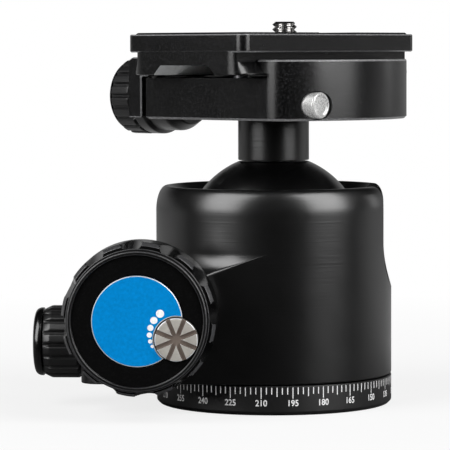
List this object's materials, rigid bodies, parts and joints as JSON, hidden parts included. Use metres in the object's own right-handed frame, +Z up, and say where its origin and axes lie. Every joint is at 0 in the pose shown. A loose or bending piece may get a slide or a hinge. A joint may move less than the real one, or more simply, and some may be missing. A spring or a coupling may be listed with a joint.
{
  "type": "tripod ball head",
  "caption": "Camera support head: a ball clamped in a round housing on a turning base, with a lock knob, a pan knob and a screw clamp that holds a dovetail plate.",
  "frame": {"origin": "middle of the underside of the box round the whole head, in the plane of the tripod face", "axes": "+Z up along the base's turning axis, -Y outwards along the ball lock knob's axis, +X towards the drop notch, -X outwards along the pan knob's axis"},
  "size_m": [0.0908, 0.0834, 0.0922],
  "materials": {
    "black_anodised": "fine satin black anodising",
    "black_rubber": "matt black moulded rubber",
    "blue_anodised": "satin bright blue anodising",
    "bright_steel": "bright turned steel",
    "dark_steel": "dull machined steel",
    "brass": "plain turned brass",
    "acetal": "white low-friction plastic"
  },
  "bodies": {
    "pan_base": {"pan_base": "black_anodised", "tripod_bushing": "dark_steel", "hub_nut": "dark_steel"},
    "housing": {"housing": "black_anodised", "upper_seat_ring": "brass", "lower_seat": "acetal", "bottom_plate": "black_anodised", "lower_thrust_washer": "acetal", "upper_thrust_washer": "acetal", "main_lock_bush": "brass", "pan_lock_bush": "brass", "lock_bore_plug": "black_anodised"},
    "ball_liner": {"ball_liner": "acetal"},
    "ball": {"ball": "black_anodised"},
    "clamp": {"neck": "black_anodised", "stem_bolt": "dark_steel", "clamp_body": "black_anodised", "jaw_spring_1": "bright_steel", "jaw_spring_2": "bright_steel", "button_spring": "bright_steel"},
    "moving_jaw": {"moving_jaw": "black_anodised", "jaw_guide_pin_1": "bright_steel", "jaw_guide_pin_2": "bright_steel"},
    "clamp_knob": {"clamp_knob_washer": "acetal", "clamp_knob_collar": "black_anodised", "clamp_knob_grip": "black_rubber", "clamp_knob_cap": "black_anodised", "clamp_screw": "dark_steel"},
    "safety_button": {"safety_button": "bright_steel"},
    "stop_pin": {"stop_pin": "bright_steel"},
    "plate": {"dovetail_plate": "black_anodised", "rubber_pad_front": "black_rubber", "rubber_pad_back": "black_rubber"},
    "camera_screw": {"camera_screw": "bright_steel", "screw_clip": "dark_steel"},
    "main_knob": {"main_lock_shaft": "dark_steel", "main_knob_washer": "acetal", "main_knob_core": "black_anodised", "main_knob_grip": "black_rubber", "knob_face_plate": "blue_anodised"},
    "lock_cone": {"lock_cone": "dark_steel"},
    "brake_shoe": {"brake_shoe": "brass"},
    "friction_dial": {"friction_dial": "bright_steel"},
    "pan_knob": {"pan_lock_screw": "dark_steel", "pan_knob_washer": "acetal", "pan_knob": "black_rubber", "pan_knob_cap": "black_anodised"},
    "pan_brake_shoe": {"pan_brake_shoe": "brass"}
  },
  "joints": [
    {"name": "pan_turn", "type": "hinge", "parent": "pan_base", "child": "housing", "pos_m": [0.01176, 0.00469, 0], "axis": [0, 0, 1], "continuous": true},
    {"name": "ball_side_tilt", "type": "hinge", "parent": "housing", "child": "ball_liner", "pos_m": [0.01176, 0.00469, 0.0383], "axis": [1, 0, 0], "range_deg": [-30, 30]},
    {"name": "ball_front_tilt", "type": "hinge", "parent": "ball_liner", "child": "ball", "pos_m": [0.01176, 0.00469, 0.0383], "axis": [0, -1, 0], "range_deg": [-90, 30]},
    {"name": "clamp_turn", "type": "hinge", "parent": "ball", "child": "clamp", "pos_m": [0.01176, 0.00469, 0.0383], "axis": [0, 0, 1], "continuous": true},
    {"name": "jaw_slide", "type": "slide", "parent": "clamp", "child": "moving_jaw", "axis": [-0.7716, 0.6361, 0], "range_m": [0, 0.003], "deforming": ["jaw_spring_1", "jaw_spring_2"]},
    {"name": "clamp_knob_turn", "type": "hinge", "parent": "moving_jaw", "child": "clamp_knob", "pos_m": [-0.00814, 0.0211, 0.07401], "axis": [-0.7716, 0.6361, 0], "range_deg": [0, 1080]},
    {"name": "button_press", "type": "slide", "parent": "clamp", "child": "safety_button", "axis": [-0.7716, 0.6361, 0], "range_m": [0, 0.0012], "stiffness_N_per_m": 300, "springref_m": -0.002, "deforming": ["button_spring"]},
    {"name": "stop_pin_drop", "type": "slide", "parent": "clamp", "child": "stop_pin", "axis": [0, 0, -1], "range_m": [0, 0.0012]},
    {"name": "plate_slide", "type": "slide", "parent": "clamp", "child": "plate", "axis": [0.6361, 0.7716, 0], "range_m": [-0.012, 0.06]},
    {"name": "camera_screw_turn", "type": "hinge", "parent": "plate", "child": "camera_screw", "pos_m": [0.01437, 0.00785, 0.08911], "axis": [0, 0, 1], "continuous": true},
    {"name": "main_knob_turn", "type": "hinge", "parent": "housing", "child": "main_knob", "pos_m": [-0.01774, -0.02381, 0.02375], "axis": [0, -1, 0], "range_deg": [0, 270]},
    {"name": "lock_cone_slide", "type": "slide", "parent": "housing", "child": "lock_cone", "axis": [0, 1, 0], "range_m": [0, 0.00135]},
    {"name": "brake_shoe_slide", "type": "slide", "parent": "housing", "child": "brake_shoe", "axis": [-0.8968, 0, -0.4424], "range_m": [0, 0.00021]},
    {"name": "friction_dial_turn", "type": "hinge", "parent": "main_knob", "child": "friction_dial", "pos_m": [-0.00874, -0.04131, 0.01965], "axis": [0, -1, 0], "range_deg": [0, 300]},
    {"name": "pan_knob_turn", "type": "hinge", "parent": "housing", "child": "pan_knob", "pos_m": [-0.03274, -0.00331, 0.0153], "axis": [-1, 0, 0], "range_deg": [0, 180]},
    {"name": "pan_shoe_slide", "type": "slide", "parent": "housing", "child": "pan_brake_shoe", "axis": [0, 0, 1], "range_m": [0, 0.00015]}
  ],
  "couplings": [
    {"joint": "clamp_knob_turn", "follows": "jaw_slide", "rad_per_m": 6283.2},
    {"joint": "stop_pin_drop", "follows": "button_press", "ratio": 1},
    {"joint": "lock_cone_slide", "follows": "main_knob_turn", "m_per_rad": 0.00028648},
    {"joint": "brake_shoe_slide", "follows": "main_knob_turn", "m_per_rad": 0.000044563},
    {"joint": "pan_knob_turn", "follows": "pan_shoe_slide", "rad_per_m": 20944}
  ]
}
